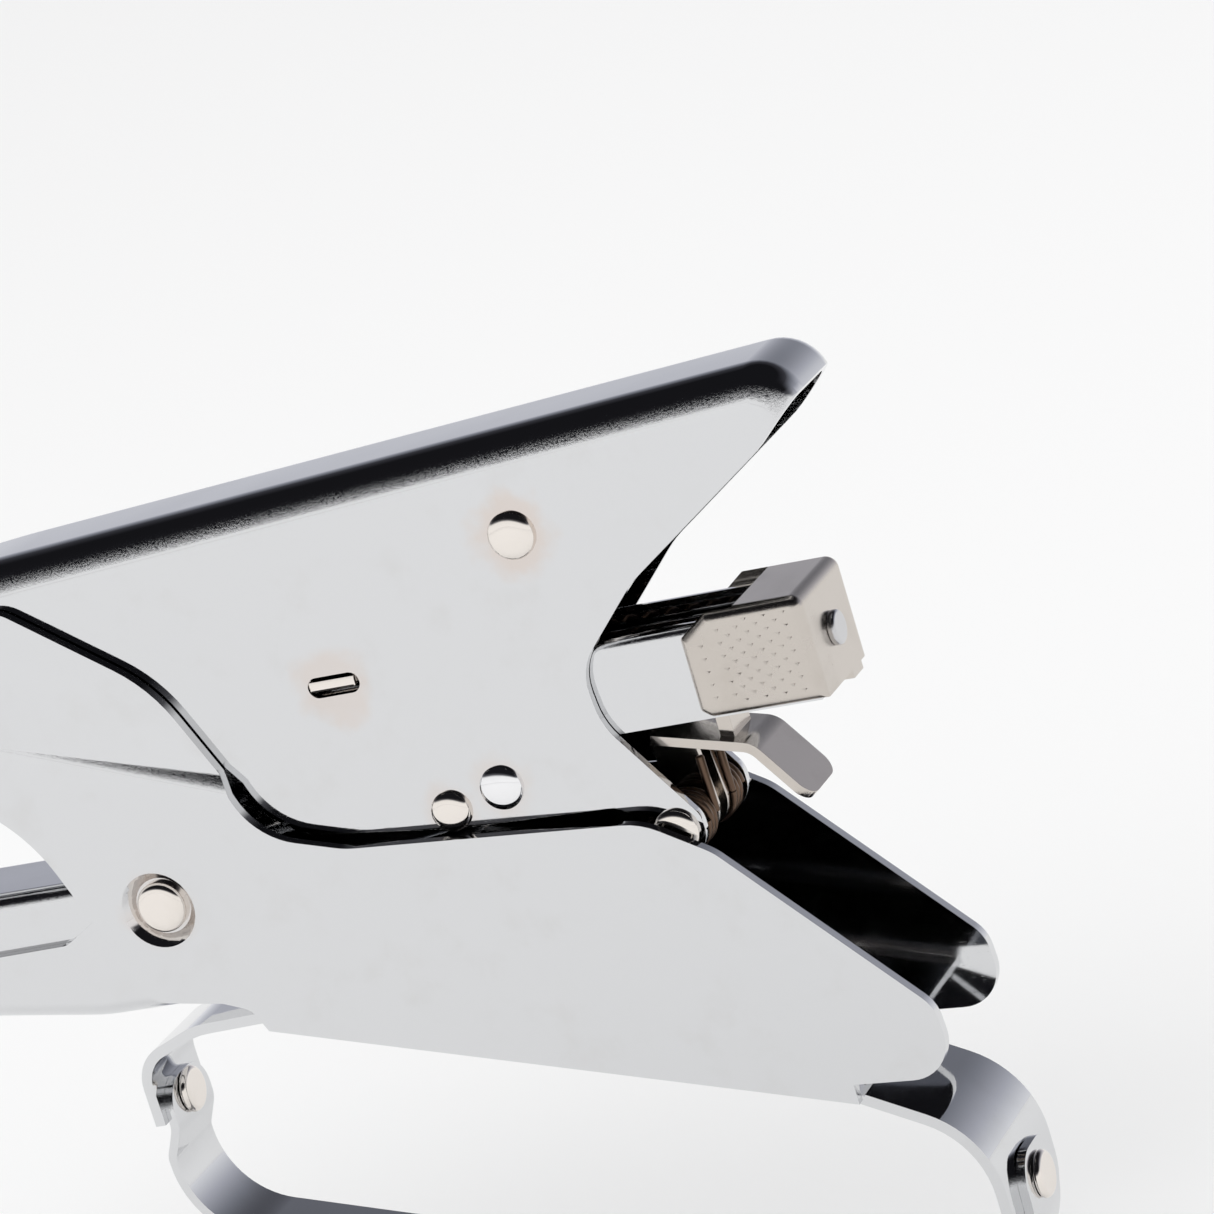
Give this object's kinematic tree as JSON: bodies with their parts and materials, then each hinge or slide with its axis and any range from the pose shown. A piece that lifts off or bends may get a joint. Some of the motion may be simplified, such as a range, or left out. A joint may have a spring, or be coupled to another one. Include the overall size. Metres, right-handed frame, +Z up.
{
  "type": "plier stapler",
  "caption": "All-metal plier stapler with a palm handle, finger hoop, sliding staple magazine and an anvil arm that closes against the jaw.",
  "frame": {"origin": "centre of the bounding box, at its lowest plane", "axes": "+X along the magazine, from the jaw to the palm end; +Y across the tool; +Z up, square to the magazine"},
  "size_m": [0.1752, 0.023, 0.1243],
  "materials": {
    "nickel_sheet": "nickel plated stamped sheet, satin bright",
    "guide_steel": "plated steel sheet, satin",
    "rivet_steel": "plated rivet heads, polished",
    "bright_chrome": "domed rivet, mirror bright",
    "spring_steel": "dark spring wire",
    "hard_steel": "hardened steel, ground",
    "arm_nickel": "nickel plated sheet, satin bright",
    "cap_nickel": "warm nickel plate, bright"
  },
  "bodies": {
    "handle": {"handle_shell": "nickel_sheet", "magazine_guide": "guide_steel", "pivot_bracket": "guide_steel", "nose_plate": "nickel_sheet", "nose_rivets": "rivet_steel", "driver_arm_pin": "rivet_steel", "body_rivet": "bright_chrome", "body_spacer": "guide_steel", "anvil_arm_pin": "rivet_steel", "latch_pin": "rivet_steel", "latch_spring": "spring_steel", "lever_return_spring": "spring_steel", "driver_arm_spring": "spring_steel"},
    "finger_lever": {"finger_lever": "nickel_sheet", "finger_strap": "nickel_sheet", "strap_front_rivet": "rivet_steel", "strap_rear_rivet": "rivet_steel", "lever_pivot_pin": "rivet_steel", "link_pin": "rivet_steel", "drive_pin": "rivet_steel"},
    "anvil_arm": {"arm_core": "arm_nickel", "arm_trough": "arm_nickel", "anvil_plate": "hard_steel", "anvil_rivet": "rivet_steel"},
    "driver_arm": {"driver_arm": "guide_steel"},
    "driver_blade": {"driver_blade": "hard_steel"},
    "magazine": {"magazine_channel": "guide_steel", "staple_rail": "guide_steel", "end_cap": "cap_nickel", "pusher_rod": "rivet_steel", "pusher_spring": "spring_steel"},
    "pusher": {"pusher": "hard_steel"},
    "latch_lever": {"latch_lever": "cap_nickel"}
  },
  "joints": [
    {"name": "squeeze", "type": "hinge", "parent": "handle", "child": "finger_lever", "pos_m": [-0.03018, 0, 0.10063], "axis": [0, -1, 0], "range_deg": [0, 13], "stiffness_Nm_per_rad": 0.6, "springref_deg": -20.05},
    {"name": "anvil_close", "type": "hinge", "parent": "handle", "child": "anvil_arm", "pos_m": [0.02942, 0, 0.07753], "axis": [0, 1, 0], "range_deg": [0, 6.42]},
    {"name": "driver_press", "type": "hinge", "parent": "handle", "child": "driver_arm", "pos_m": [0.04802, 0, 0.11013], "axis": [0, -1, 0], "range_deg": [0, 3.42], "deforming": ["driver_arm_spring"]},
    {"name": "blade_stroke", "type": "slide", "parent": "handle", "child": "driver_blade", "axis": [0, 0, -1], "range_m": [0, 0.0079]},
    {"name": "magazine_slide", "type": "slide", "parent": "handle", "child": "magazine", "axis": [1, 0, 0], "range_m": [0, 0.11]},
    {"name": "pusher_feed", "type": "slide", "parent": "magazine", "child": "pusher", "axis": [1, 0, 0], "range_m": [0, 0.1], "stiffness_N_per_m": 10, "springref_m": -0.1, "deforming": ["pusher_spring"]},
    {"name": "latch_release", "type": "hinge", "parent": "handle", "child": "latch_lever", "pos_m": [0.05742, 0, 0.07033], "axis": [0, 1, 0], "range_deg": [0, 12], "stiffness_Nm_per_rad": 0.02, "springref_deg": -17.19}
  ],
  "couplings": [
    {"joint": "anvil_close", "follows": "squeeze", "ratio": 0.4923},
    {"joint": "driver_press", "follows": "squeeze", "ratio": 0.2615},
    {"joint": "blade_stroke", "follows": "squeeze", "m_per_rad": 0.03473}
  ]
}
